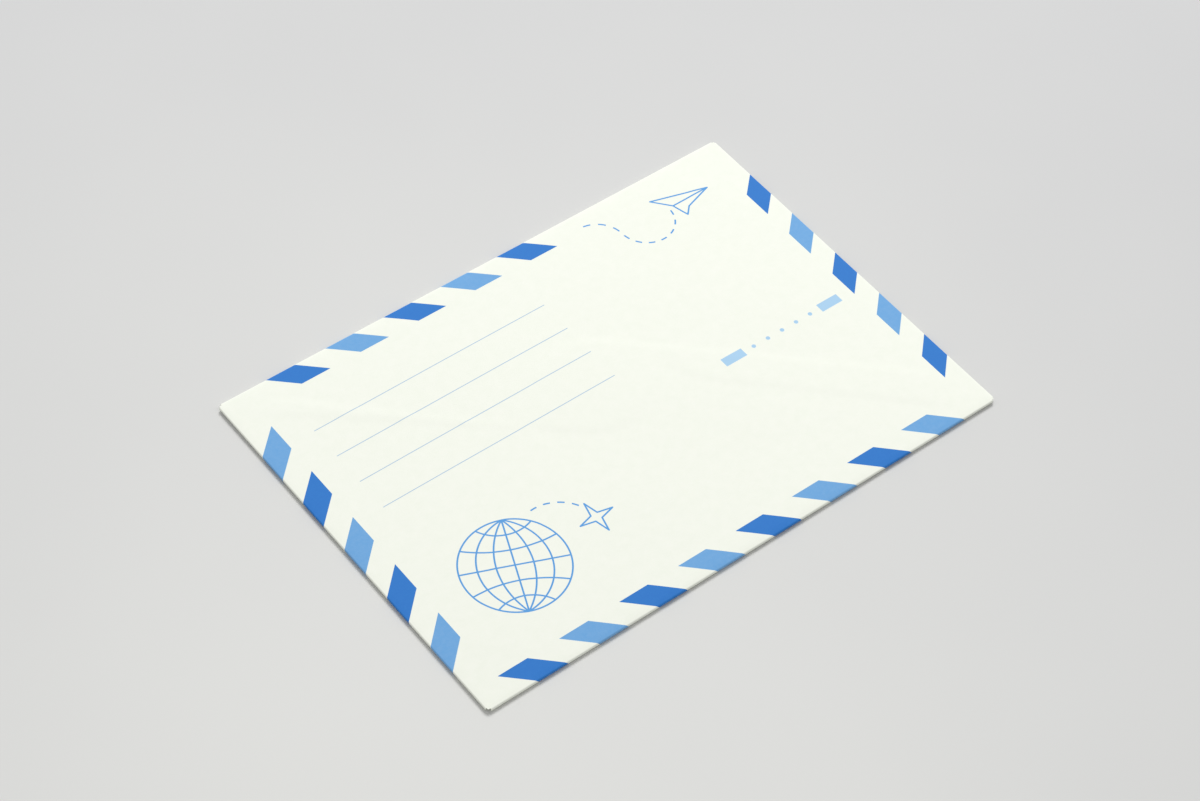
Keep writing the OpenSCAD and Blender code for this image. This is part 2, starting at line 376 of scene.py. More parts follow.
print("address lines:", len(address_lines()), "outlines in the code row:", len(code_row()))

# %% Globe with a star
GLOBE = dict(x=30.5, y=30, r=14, meridians=2, parallels=(30, 60), lean=23)
STAR = dict(away=11, r=5, waist=0.28, route=(100, 24), dashes=4)


def turned(points, degrees, centre):
    a = math.radians(degrees)
    turn = np.array([(math.cos(a), math.sin(a)), (-math.sin(a), math.cos(a))])
    return np.asarray(points, float) @ turn + centre


def globe():
    r, lines = GLOBE["r"], []
    for i in range(1, GLOBE["meridians"] + 1):
        on_equator = r * i / (GLOBE["meridians"] + 1)
        bow_r = (r * r + on_equator * on_equator) / (2 * on_equator)
        half = math.degrees(math.asin(r / bow_r))
        lines.append(arc_band((on_equator - bow_r, 0), bow_r, -half, half))
        lines.append(arc_band((bow_r - on_equator, 0), bow_r, 180 - half, 180 + half))
    for latitude in GLOBE["parallels"]:
        on_axis, on_rim = r * latitude / 90, r * math.sin(math.radians(latitude))
        middle = (r * r - on_axis * on_axis) / (2 * (on_rim - on_axis))
        bow_r = middle - on_axis
        half = math.degrees(math.asin(r * math.cos(math.radians(latitude)) / bow_r))
        lines.append(arc_band((0, middle), bow_r, -90 - half, -90 + half))
        lines.append(arc_band((0, -middle), bow_r, 90 - half, 90 + half))
    lines += [stroke((0, -r), (0, r)), stroke((-r, 0), (r, 0))] + ring((0, 0), r)
    place = (GLOBE["x"] - HALF_W, GLOBE["y"] - HALF_H)
    return [turned(line, -GLOBE["lean"], place) for line in lines]


def star_and_route():
    x, y = GLOBE["x"] - HALF_W + GLOBE["r"] + STAR["away"], GLOBE["y"] - HALF_H
    sizes = [STAR["r"], STAR["r"] * STAR["waist"]] * 4
    points = [arc((x, y), size, 45 * i, 45 * i)[0] for i, size in enumerate(sizes)]
    route = dashes((x - STAR["away"], y), STAR["away"], *STAR["route"], STAR["dashes"])
    return strokes(np.array(points)) + route


print("globe:", len(globe()), "lines, star and route:", len(star_and_route()))

# %% Paper dart with its trail
DART = dict(x=13, y=13, length=16, trail_r=8, gap=1.5, dashes=7)
DART_POINTS = dict(wing=(-1, 0.3), spine=(-0.74, 0), keel=(-0.66, -0.3), far=(-0.52, -0.16))


def dart():
    nose = np.array([HALF_W - DART["x"], HALF_H - DART["y"]])
    wing, spine, keel, far = (nose + DART["length"] * np.array(p) for p in DART_POINTS.values())
    lines = strokes(np.array([nose, wing, spine])) + strokes(np.array([nose, spine, keel, far]))
    r, tail = DART["trail_r"], spine[0] - DART["gap"]
    near = dashes((tail - r, nose[1]), r, 0, -180, DART["dashes"])
    away = dashes((tail - 3 * r, nose[1]), r, 0, 90, DART["dashes"] // 2)
    return lines + near + away


print("dart:", len(dart()), "lines")

# %% [markdown]
# The print in order of its inks. Each ink holds groups of outlines, and a group is what has to stay
# together: one stripe, the address lines, the code row or one drawing.

# %% All the print
INKS = {
    "dark": [[shape] for shape in dark_stripes],
    "light": [[shape] for shape in light_stripes],
    "rule": [address_lines()],
    "code": [code_row()],
    "drawing": [globe() + star_and_route(), dart()],
}
print("outlines:", {ink: sum(len(group) for group in groups) for ink, groups in INKS.items()})

# %% [markdown]
# ## From outlines to faces
#
# Everything so far is a set of closed outlines in one plane. A constrained Delaunay triangulation
# turns them into triangles whose edges follow every outline, and tells for each triangle which
# outlines hold it. That is how a triangle learns which ink it wears. Lines along each bend and a
# grid of loose points give the sheet enough points to curve at. The triangles fill the whole hull
# of the points, so those that the blank's own outline, number 0, doesn't hold are dropped.

# %% Points for the bends and the open paper
EDGE_STEP = 1.5
GRID_STEP = 1.6
BEND_LINES = 12
CLEAR_OF_EDGES = 0.85


def bend_lines():
    """Lines along each bend, from where it starts to where it ends."""
    found = []
    for side in SIDES:
        along = np.linspace(-side.base, side.base, math.ceil(2 * side.base / EDGE_STEP) + 1)
        for out in np.linspace(0, side.bend_length, BEND_LINES + 1):
            found.append(side.on_blank(along, np.full(len(along), out)))
    return found


def far_from(points, taken, distance):
    """The points that keep this distance from all points already in use."""
    tree = KDTree(len(taken))
    for i, point in enumerate(taken):
        tree.insert((*point, 0), i)
    tree.balance()
    return np.array([point for point in points if tree.find((*point, 0))[2] > distance])


def anticlockwise(outline):
    x, y = outline.T
    area = np.dot(x, np.roll(y, -1)) - np.dot(y, np.roll(x, -1))
    return outline if area > 0 else outline[::-1]


bends = bend_lines()
print(len(bends), "lines follow the four bends")

# %% Triangulate the blank
FILL_HULL = 0
BLANK = 0
outlines = [split(anticlockwise(blank), EDGE_STEP)]
ink_of_outline, group_of_outline, groups = [None], [None], []
for ink, groups_of_ink in INKS.items():
    for group in groups_of_ink:
        outlines += [split(anticlockwise(shape), EDGE_STEP) for shape in group]
        ink_of_outline += [ink] * len(group)
        group_of_outline += [len(groups)] * len(group)
        groups.append(np.concatenate(group))

spans = [np.arange(start, end, GRID_STEP) for start, end in zip(blank.min(0), blank.max(0))]
grid = np.stack(np.meshgrid(*spans), -1).reshape(-1, 2)
grid = far_from(grid, np.concatenate(outlines + bends), CLEAR_OF_EDGES)

plane, edges, faces = [], [], []
for outline in outlines:
    faces.append(list(range(len(plane), len(plane) + len(outline))))
    plane += list(outline)
for line in bends:
    edges += [(len(plane) + i, len(plane) + i + 1) for i in range(len(line) - 1)]
    plane += list(line)
plane += list(grid)
cut = delaunay_2d_cdt([Vector(p) for p in plane], edges, faces, FILL_HULL, TINY, True)
cut_points, _, cut_faces, _, _, holders = cut
flat = np.array([tuple(p) for p in cut_points])
held_by = [(face, owners) for face, owners in zip(cut_faces, holders) if BLANK in owners]
triangles = np.array([face for face, _ in held_by])
print("blank has", len(flat), "points and", len(triangles), "triangles")

# %% [markdown]
# ## Where the paper gives a little
#
# A folded sheet is never quite flat, and flat faces look like plastic. Three small lifts are added
# to the front. It arches over the pocket, because the folds spring. It waves a little, as paper
# does when the air gets damper. And it shows the flaps that lie under it, pressed through as soft
# steps. All three fade out at the folds, and together they stay under half a millimetre. Blender's
# cloth simulation could bend the sheet too, but paper stretches far less than cloth, and the thin
# layers would be hard to keep apart. Sums of waves and soft steps say how far each point goes.

# %% Waves, and the distance from an outline
rng = np.random.default_rng(7)
ANY_PHASE = 6.28
LONG_WAVES = dict(count=6, slowest=0.05, fastest=0.13)


def random_waves(count, slowest, fastest):
    """Waves in all directions: how fast each one runs along x and y, and where it starts."""
    found = []
    for _ in range(count):
        run = rng.uniform(slowest, fastest, 2) * rng.choice([-1, 1], 2)
        found.append((run, rng.uniform(0, ANY_PHASE)))
    return found


def height_of(waves, xy):
    return sum(np.sin(xy @ run + phase) for run, phase in waves)


def depth_inside(outline, xy):
    """Distance to a convex or nearly convex outline, positive inside it."""
    ends = np.roll(outline, -1, 0)
    nearest = np.full(len(xy), np.inf)
    inside = np.zeros(len(xy), bool)
    for a, b in zip(outline, ends):
        run = b - a
        t = np.clip((xy - a) @ run / (run @ run), 0, 1)
        nearest = np.minimum(nearest, np.linalg.norm(xy - a - t[:, None] * run, axis=1))
        if a[1] != b[1]:
            crossing = (a[1] > xy[:, 1]) != (b[1] > xy[:, 1])
            inside ^= crossing & (xy[:, 0] < a[0] + (xy[:, 1] - a[1]) * run[0] / run[1])
    return np.where(inside, nearest, -nearest)


def soft_step(value, width):
    """From 0 to 1 as a value passes zero, within a width to either side."""
    t = np.clip(value / width / 2 + 0.5, 0, 1)
    return t * t * (3 - 2 * t)


waves = random_waves(**LONG_WAVES)
print("waves on the front:", len(waves))

# %% Lift of the front
ARCH = 0.25
WAVE = 0.1
PRESSED = 0.09
PRESS_BLUR = 0.8
FADE_POWER = 2.5
PRESS_FADE = 6

for side in SIDES:
    along, inward = side.flap.T[:, :, None]
    side.folded_flap = along * side.along_axis + (side.edge - inward) * side.out_axis


def covered(side, xy, beyond=0.0):
    """From 0 outside a folded flap, made larger by beyond, to 1 for points under or over it."""
    return soft_step(depth_inside(side.folded_flap, xy) + beyond, PRESS_BLUR)


def front_lift(xy):
    across, up = np.abs(xy[:, 0]) / LEFT.start, np.abs(xy[:, 1]) / HALF_H
    fade = np.clip((1 - across**FADE_POWER) * (1 - up**FADE_POWER), 0, 1)
    swell = ARCH + WAVE * (height_of(waves, xy) / len(waves))
    pressed = sum(covered(side, xy) for side in SIDES)
    return fade * swell + PRESSED * pressed * np.clip(fade * PRESS_FADE, 0, 1)


print("lift in the middle:", front_lift(np.zeros((1, 2))).round(2)[0], "mm")


# %% [markdown]
# The back gives too. Seen from there, the bottom flap sinks a little where no side flap lies under
# it, and the closing flap where no bottom flap does. Both start a little way outside the edge of
# the flap that they pass, so that the layers never meet. Along the glued seams the paper is
# cockled, because glue is wet: fine ripples fill a strip beside the bottom flap's edges.

# %% Lift of the flaps
CLEAR_STEP = 2.5
COCKLE = 0.02
COCKLE_STRIP = 9
SHORT_WAVES = dict(count=5, slowest=0.55, fastest=0.95)
SETTLING = 4
cockles = random_waves(**SHORT_WAVES)


def flap_lift(side, xy, past):
    """Lift of a folded flap at places on it, that are some way past its bend."""
    settled = soft_step(past - SETTLING, SETTLING)
    if side is TOP:
        return PRESSED * settled * (1 - covered(BOTTOM, xy, CLEAR_STEP))
    if side is not BOTTOM:
        return np.zeros(len(xy))
    glued = np.clip(1 - depth_inside(side.folded_flap, xy) / COCKLE_STRIP, 0, 1)
    ripple = height_of(cockles, xy) / 2
    sides = covered(LEFT, xy, CLEAR_STEP) + covered(RIGHT, xy, CLEAR_STEP)
    return settled * (PRESSED * (1 - sides) - COCKLE * sides * glued * np.clip(ripple, 0, 1))


print("ripples beside the glued seams:", len(cockles), "waves,", COCKLE, "mm deep")


# %% [markdown]
# ## Folding
#
# The folding rule takes a point of the blank to the middle of the paper's thickness in space. A
# point of the front keeps its place. A point on a bend goes round a half circle, and what lies
# beyond it comes back under the front as a flap. The rule also tells which way the printed side
# faces, so that the two faces of the sheet can be set half a thickness to either side.

# %% The folding rule
def fold(points):
    """Places in space, the way that the printed side faces, and how sharply the sheet bends."""
    places = np.column_stack([points, FRONT_Z + np.zeros(len(points))])
    facing = np.tile([0.0, 0.0, 1.0], (len(points), 1))
    bend = np.zeros(len(points))
    on_front = np.ones(len(points), bool)
    for side in SIDES:
        out = points @ side.out_axis - side.start
        part = out > TINY
        turn = np.clip(out[part] / side.bend_r, 0, math.pi)
        past = np.clip(out[part] - side.bend_length, 0, None)
        reach = side.start + side.bend_r * np.sin(turn) - past
        along = points[part] @ side.along_axis
        xy = along[:, None] * side.along_axis + reach[:, None] * side.out_axis
        drop = side.bend_r * (1 - np.cos(turn))
        places[part, :2] = xy
        places[part, 2] = FRONT_Z - drop + flap_lift(side, xy, past)
        bend[part] = np.sin(turn) * (past == 0)
        facing[part, :2] = np.sin(turn)[:, None] * side.out_axis
        facing[part, 2] = np.cos(turn)
        on_front &= ~part
    places[on_front, 2] += front_lift(points[on_front])
    return places, facing, bend


used = np.unique(triangles)
renumber = np.full(len(flat), -1)
renumber[used] = np.arange(len(used))
flat, triangles = flat[used], renumber[triangles]
middle, facing, bend = fold(flat)
print("folded:", np.ptp(middle, axis=0).round(2), "mm")

# %% [markdown]
# ## The mesh
#
# The printed face and the inner face are two copies of the same triangles, half a thickness out and
# in, and the inner ones are turned over. The outline of the blank, which is the set of edges with a
# triangle on one side only, is closed by a rim as wide as the paper is thick. A Solidify modifier
# would do nearly the same. It takes its directions from the faces around a point, though, while the
# folding rule knows the true one, so the thin layers keep their gaps.

# %% Two faces and a rim
SHARP_ANGLE = 40

corners = flat[triangles]
turned_over = np.cross(corners[:, 1] - corners[:, 0], corners[:, 2] - corners[:, 0]) < 0
triangles[turned_over] = triangles[turned_over][:, ::-1]
half_edges = {(a, b) for face in triangles for a, b in zip(face, np.roll(face, -1))}
rim_edges = [(a, b) for a, b in half_edges if (b, a) not in half_edges]
rim_edges.sort()

count = len(flat)
points = np.concatenate([middle + facing * PAPER_T / 2, middle - facing * PAPER_T / 2]) * MM
all_faces = triangles.tolist() + (triangles[:, ::-1] + count).tolist()
all_faces += [[a, a + count, b + count, b] for a, b in rim_edges]

mesh = bpy.data.meshes.new("paper_sheet")
mesh.from_pydata(points.tolist(), [], all_faces)
mesh.validate()
sheet = bpy.data.objects.new("paper_sheet", mesh)
bpy.context.scene.collection.objects.link(sheet)
mesh.shade_smooth()
mesh.set_sharp_from_angle(angle=math.radians(SHARP_ANGLE))
print("sheet:", len(mesh.polygons), "faces,", len(rim_edges), "round the rim")

# %% [markdown]
# ## Which ink is where
#
# Each triangle kept the list of outlines that hold it. The printed face takes the ink of its
# outline. The inner face and the rim are bare paper. The print falls into groups, such as one
# stripe or the whole globe, because the picture map below gives each group its own place. How
# sharply the sheet bends at a point is kept too, as an attribute that the ink reads.

# %% Material slot and print group of each face
SLOTS = ["paper", *INKS]
slot_of_face = np.zeros(len(all_faces), int)
group_of_face = np.full(len(all_faces), -1)
for i, (_, owners) in enumerate(held_by):
    owner = max(owners)
    if ink_of_outline[owner]:
        slot_of_face[i] = SLOTS.index(ink_of_outline[owner])
        group_of_face[i] = group_of_outline[owner]
bend_mark = mesh.attributes.new("bend", "FLOAT", "POINT")
bend_mark.data.foreach_set("value", np.tile(bend, 2).astype(np.float32))
print({name: int((slot_of_face == i).sum()) for i, name in enumerate(SLOTS)}, "faces by ink")

# %% [markdown]
# ## Two maps of the sheet
#
# The first map is the blank itself, in millimetres. Materials read it, so the paper's cloudiness
# and the unevenness of the ink run round the folds without a seam. The second map is for tools that
# turn a material into a picture. It is the blank scaled to a unit square, with each group of print
# moved into one of the blank's four empty corners, so that no ink's colour can run into the paper
# next to it. The groups are stood on end and laid in rows, tall ones first.

# %% A free place for each group of print
MARGIN = 1.03
GUTTER = 3
ATLAS = MARGIN * np.ptp(blank, axis=0).max()
middle_of_blank = (blank.min(0) + blank.max(0)) / 2


def free_places(sizes):
    """Middles for boxes of these sizes, in rows that start beside the front's corners."""
    places = np.empty((len(sizes), 2))
    corners = iter([(1, 1), (-1, 1), (1, -1), (-1, -1)])
    room, across, up, row = (0, 0), 0, 0, 0
    for i in sorted(range(len(sizes)), key=lambda i: -sizes[i][1]):
        wide, tall = sizes[i] + GUTTER
        if across + wide > room[0]:
            across, up, row = 0, up + row, 0
        if up + tall > room[1]:
            sign = np.array(next(corners))
            start = np.array([HALF_W, HALF_H]) + GUTTER
            room = ATLAS / 2 + sign * middle_of_blank - start
            across = up = row = 0
        places[i] = sign * (start + (across + wide / 2, up + tall / 2))
        across, row = across + wide, max(row, tall)
    return places


homes = free_places([np.sort(np.ptp(group, axis=0)) for group in groups])
print(len(homes), "groups of print beside the blank, on a picture", ATLAS.round(1), "mm wide")

# %% Write the maps
loops = np.empty(len(mesh.loops), np.int32)
mesh.loops.foreach_get("vertex_index", loops)
loop_face = np.repeat(np.arange(len(mesh.polygons)), [p.loop_total for p in mesh.polygons])
on_blank = flat[loops % count]
placed = on_blank.copy()
for number, (group, home) in enumerate(zip(groups, homes)):
    part = group_of_face[loop_face] == number
    placed[part] -= (group.min(0) + group.max(0)) / 2
    if np.ptp(group, axis=0).argmax() == 0:
        placed[part] = placed[part][:, ::-1] * (-1, 1)
    placed[part] += home
placed = (placed - middle_of_blank) / ATLAS + 0.5
for name, values in [("sheet_mm", on_blank), ("OFBake", placed)]:
    layer = mesh.uv_layers.new(name=name)
    layer.data.foreach_set("uv", values.astype(np.float32).ravel())
mesh.polygons.foreach_set("material_index", slot_of_face.astype(np.int32))
print("maps:", [layer.name for layer in mesh.uv_layers])
print("the second map runs from", placed.min().round(3), "to", placed.max().round(3))

# %% [markdown]
# ## Building materials in code
#
# Every material here is a small net of nodes, and four helpers keep the code short. `add` makes a
# node and sets its values. `new_group` starts a node group with named inputs and outputs: a group
# is built once, and each material places it with its own values. `tuned` and `maths` are the two
# nodes that are used most.

# %% Node helpers
def add(tree, kind, settings=None, **inputs):
    """A new node, with its options and its inputs: values, or sockets to link from.

    An input without a name of its own is called by its number, such as _0.
    """
    node = tree.nodes.new(kind)
    for name, value in (settings or {}).items():
        setattr(node, name, value)
    for name, value in inputs.items():
        socket = node.inputs[int(name[1:]) if name[0] == "_" else name.replace("_", " ")]
        if isinstance(value, bpy.types.NodeSocket):
            tree.links.new(value, socket)
        else:
            socket.default_value = value
    return node


def new_group(name, inputs, outputs):
    """An empty node group; inputs and outputs map a name to a socket type and its first value."""
    tree = bpy.data.node_groups.new(name, "ShaderNodeTree")
    for names, direction in [(inputs, "INPUT"), (outputs, "OUTPUT")]:
        for socket_name, (kind, value) in names.items():
            socket = tree.interface.new_socket(socket_name, in_out=direction, socket_type=kind)
            if value is not None:
                socket.default_value = value
    return tree, tree.nodes.new("NodeGroupInput"), tree.nodes.new("NodeGroupOutput")


FLOAT, VECTOR = "NodeSocketFloat", "NodeSocketVector"


def tuned(tree, value, low, high, start=0.0, end=1.0):
    """Values between low and high stretched to start and end, and held there outside."""
    node = add(tree, "ShaderNodeMapRange", {"clamp": True}, Value=value)
    for name, number in [("From Min", low), ("From Max", high), ("To Min", start), ("To Max", end)]:
        node.inputs[name].default_value = number
    return node.outputs["Result"]


def maths(tree, operation, a, b):
    return add(tree, "ShaderNodeMath", {"operation": operation}, _0=a, _1=b).outputs[0]


# %% [markdown]
# ## The paper's make
#
# Uncoated paper is a felt of fibres. Held to the light it is cloudy, because the fibres settle in
# flocks some millimetres wide. Close up it has a tooth: short fibres, a tenth of a millimetre
# across, lying every way but mostly along the machine's run. A picture of paper could give both,
# but it repeats, and blurs in a close view. So the group makes them from noise. The clouds come out
# as a tone, and fibres and tooth as a height for the bump.

# %% Group: paper fibre
FIBRES = [
    dict(degrees=8, length=1.7, size=0.16),
    dict(degrees=-31, length=1.4, size=0.14),
    dict(degrees=67, length=1.2, size=0.13),
]
FIBRE_RISE = 0.3


def noise(tree, place, scale, detail, roughness):
    inputs = dict(Vector=place, Scale=scale, Detail=detail, Roughness=roughness)
    return add(tree, "ShaderNodeTexNoise", **inputs).outputs["Fac"]


def threads(tree, place, degrees, length, size):
    """Long thin shapes that lie at an angle: noise in coordinates that are turned and squeezed."""
    turn, squeeze = (0, 0, math.radians(degrees)), (1 / length, 1 / size, 1)
    lay = add(tree, "ShaderNodeMapping", Vector=place, Rotation=turn, Scale=squeeze)
    grain = noise(tree, lay.outputs["Vector"], scale=1.0, detail=2.0, roughness=0.4)
    return tuned(tree, grain, low=0.58, high=0.72)


def build_paper_fibre():
    tree, given, result = new_group(
        "paper_fibre",
        {"Place": (VECTOR, None), "Cloud Size": (FLOAT, 1.0), "Tooth": (FLOAT, 1.0)},
        {"Cloud": (FLOAT, None), "Fibre": (FLOAT, None), "Height": (FLOAT, None)},
    )
    place = given.outputs["Place"]
    cloud_scale = maths(tree, "DIVIDE", 1.0, given.outputs["Cloud Size"])
    cloud = noise(tree, place, cloud_scale, detail=5.0, roughness=0.62)
    cloud = tuned(tree, cloud, low=0.32, high=0.68)
    fibre, *others = [threads(tree, place, **lay) for lay in FIBRES]
    for other in others:
        fibre = maths(tree, "MAXIMUM", fibre, other)
    tooth = noise(tree, place, scale=2.8, detail=3.0, roughness=0.6)
    tooth = maths(tree, "MULTIPLY", tooth, given.outputs["Tooth"])
    height = maths(tree, "ADD", tooth, maths(tree, "MULTIPLY", fibre, FIBRE_RISE))
    for name, value in [("Cloud", cloud), ("Fibre", fibre), ("Height", height)]:
        tree.links.new(value, result.inputs[name])
    return tree


paper_fibre = build_paper_fibre()
print("group:", paper_fibre.name, [item.name for item in paper_fibre.interface.items_tree])

# %% [markdown]
# ## How ink lies on it
#
# Printing ink on uncoated paper sinks in. The high spots of the tooth take less of it and the
# clouds soak it up unevenly, so a stripe is a little mottled and its blue a little lighter in
# specks. On the folds the printed skin is stretched and cracks, and white fibres show in fine
# flecks. The group gives one mask, where 1 is full ink.

# %% Group: ink lay
MOTTLE_SHARE, SPECK_SHARE, CLOUD_SHARE = 0.5, 0.3, 0.2


def build_ink_lay():
    tree, given, result = new_group(
        "ink_lay",
        {
            "Place": (VECTOR, None),
            "Height": (FLOAT, None),
            "Cloud": (FLOAT, None),
            "Starve": (FLOAT, None),
            "Bend": (FLOAT, None),
            "Crack": (FLOAT, None),
        },
        {"Cover": (FLOAT, None)},
    )
    place = given.outputs["Place"]
    mottle = noise(tree, place, scale=0.9, detail=4.0, roughness=0.65)
    mottle = maths(tree, "MULTIPLY", tuned(tree, mottle, low=0.35, high=0.7), MOTTLE_SHARE)
    specks = tuned(tree, given.outputs["Height"], low=0.42, high=0.62)
    specks = maths(tree, "MULTIPLY", specks, SPECK_SHARE)
    clouds = maths(tree, "MULTIPLY", given.outputs["Cloud"], CLOUD_SHARE)
    bare = maths(tree, "ADD", maths(tree, "ADD", mottle, specks), clouds)
    bare = maths(tree, "MULTIPLY", bare, given.outputs["Starve"])
    flecks = noise(tree, place, scale=4.5, detail=3.0, roughness=0.6)
    cracking = maths(tree, "MULTIPLY", given.outputs["Bend"], given.outputs["Crack"])
    flecks = maths(tree, "MULTIPLY", tuned(tree, flecks, low=0.5, high=0.62), cracking)
    cover = maths(tree, "SUBTRACT", 1.0, maths(tree, "MAXIMUM", bare, flecks))
    tree.links.new(cover, result.inputs["Cover"])
    return tree


ink_lay = build_ink_lay()
print("group:", ink_lay.name, [item.name for item in ink_lay.interface.items_tree])

# %% [markdown]
# ## The finishes
#
# They all share the paper group, because ink doesn't hide the paper's tooth. Uncoated paper has
# hardly any gloss, and ink only a little more. Colours are written as they look on a screen, and a
# helper turns them into the linear values that Blender reckons with.


# %% Colours
def rgb(red, green, blue):
    """A colour written as on a screen, from 0 to 255, turned into Blender's linear values."""
    linear = []
    for value in (red, green, blue):
        share = value / 255
        linear.append(share / 12.92 if share < 0.04045 else ((share + 0.055) / 1.055) ** 2.4)
    return (*linear, 1.0)


PAPER_CLOUD, PAPER_CLEAR = rgb(244, 247, 235), rgb(247, 249, 238)
PAPER_FIBRE = rgb(249, 250, 243)
DARK_BLUE = dict(full=rgb(36, 117, 201), thin=rgb(122, 180, 235))
LIGHT_BLUE = dict(full=rgb(104, 165, 220), thin=rgb(200, 222, 243))
GREY_BLUE = rgb(182, 204, 224)
PALE_BLUE = rgb(172, 209, 238)
LINE_BLUE = rgb(96, 162, 224)
print("the paper's clear tone in linear values:", [round(v, 3) for v in PAPER_CLEAR])

# %% What all finishes share
FELT = dict(Cloud_Size=3.0, Tooth=0.65)
GLOSS = 0.2
PAPER_RELIEF, INK_RELIEF = 0.012, 0.009
LOW_SPOTS, HIGH_SPOTS = 0.2, 0.8


def mixed(tree, factor, first, second):
    node = add(tree, "ShaderNodeMix", {"data_type": "RGBA"}, _0=factor, _6=first, _7=second)
    return node.outputs[2]


def start_finish(name, relief):
    """The parts that every finish shares: the map, the paper group, the shader and the bump."""
    material = bpy.data.materials.new(name)
    material.use_nodes = True
    tree = material.node_tree
    tree.nodes.clear()
    place = add(tree, "ShaderNodeUVMap", {"uv_map": "sheet_mm"}).outputs["UV"]
    fibre = add(tree, "ShaderNodeGroup", {"node_tree": paper_fibre}, Place=place, **FELT)
    shader = add(tree, "ShaderNodeBsdfPrincipled", Specular_IOR_Level=GLOSS)
    bump = add(tree, "ShaderNodeBump", Height=fibre.outputs["Height"], Distance=relief * MM)
    tree.links.new(bump.outputs["Normal"], shader.inputs["Normal"])
    add(tree, "ShaderNodeOutputMaterial", Surface=shader.outputs["BSDF"])
    return material, tree, place, fibre, shader


def set_roughness(tree, shader, height, in_lows, on_highs):
    """Dull in the low spots of the tooth, and a little smoother where it is rubbed."""
    rubbed = tuned(tree, height, LOW_SPOTS, HIGH_SPOTS, in_lows, on_highs)
    tree.links.new(rubbed, shader.inputs["Roughness"])


# %% [markdown]
# The paper is a bright white with a hint of green, as the photo shows it. One plain colour would do
# from far away, but it looks like plastic from near. So two whites that are hardly apart are mixed
# by the clouds, and the fibres lie in them a little lighter.

# %% The paper
FIBRE_SHOWS = 0.5


def paper_finish():
    material, tree, _, fibre, shader = start_finish("white_paper", PAPER_RELIEF)
    ground = mixed(tree, fibre.outputs["Cloud"], PAPER_CLOUD, PAPER_CLEAR)
    felt = maths(tree, "MULTIPLY", fibre.outputs["Fibre"], FIBRE_SHOWS)
    tree.links.new(mixed(tree, felt, ground, PAPER_FIBRE), shader.inputs["Base Color"])
    set_roughness(tree, shader, fibre.outputs["Height"], in_lows=0.86, on_highs=0.7)
    return material


finishes = {"paper": paper_finish()}
print("paper:", finishes["paper"].name)

# %% [markdown]
# The two stripe blues are mixed from full ink and thin ink by the cover mask, and thin ink is about
# as dull as the paper. The address lines, the code row and the drawings each have one even blue on
# the same tooth, because unevenness wouldn't show on marks that small.

# %% The inks
CRACK = 0.4


def stripe_finish(name, full, thin, starve):
    """Ink over a large field: thin where the paper takes less of it, and cracked on the bends."""
    material, tree, place, fibre, shader = start_finish(name, INK_RELIEF)
    bend_here = add(tree, "ShaderNodeAttribute", {"attribute_name": "bend"})
    under = dict(Place=place, Height=fibre.outputs["Height"], Cloud=fibre.outputs["Cloud"])
    ink = dict(Starve=starve, Bend=bend_here.outputs["Fac"], Crack=CRACK)
    lay = add(tree, "ShaderNodeGroup", {"node_tree": ink_lay}, **under, **ink)
    cover = lay.outputs["Cover"]
    tree.links.new(mixed(tree, cover, thin, full), shader.inputs["Base Color"])
    roughness = tuned(tree, cover, low=1 - starve, high=1.0, start=0.78, end=0.6)
    tree.links.new(roughness, shader.inputs["Roughness"])
    return material


def line_finish(name, colour):
    material, tree, _, fibre, shader = start_finish(name, INK_RELIEF)
    shader.inputs["Base Color"].default_value = colour
    set_roughness(tree, shader, fibre.outputs["Height"], in_lows=0.8, on_highs=0.66)
    return material


finishes["dark"] = stripe_finish("dark_blue_ink", **DARK_BLUE, starve=0.13)
finishes["light"] = stripe_finish("light_blue_ink", **LIGHT_BLUE, starve=0.16)
finishes["rule"] = line_finish("grey_blue_ink", GREY_BLUE)
finishes["code"] = line_finish("pale_blue_ink", PALE_BLUE)
finishes["drawing"] = line_finish("line_blue_ink", LINE_BLUE)
for slot in SLOTS:
    mesh.materials.append(finishes[slot])
print("finishes:", [finish.name for finish in mesh.materials])

# %% [markdown]
# ## Floor, light and camera
#
# The photo was taken on a pale sweep of paper. A large square does for it. Its colour holds a
# painted pool of light, palest in front of the object and darker all round: the tone follows the
# distance from one point of the floor, with a little noise, so that no ring shows. From here on,
# places and sizes are in metres.

# %% Floor
FLOOR_REACH = 3.0
# The floor's two tones are painted light and painted shade: a pool of light painted around one
# point.
FLOOR_IN_PAINTED_LIGHT, FLOOR_IN_PAINTED_SHADE = rgb(226, 226, 223), rgb(206, 206, 206)
PAINTED_LIGHT_CENTRE = (-0.1, -0.08, 0)
PAINTED_LIGHT_REACH = 0.36


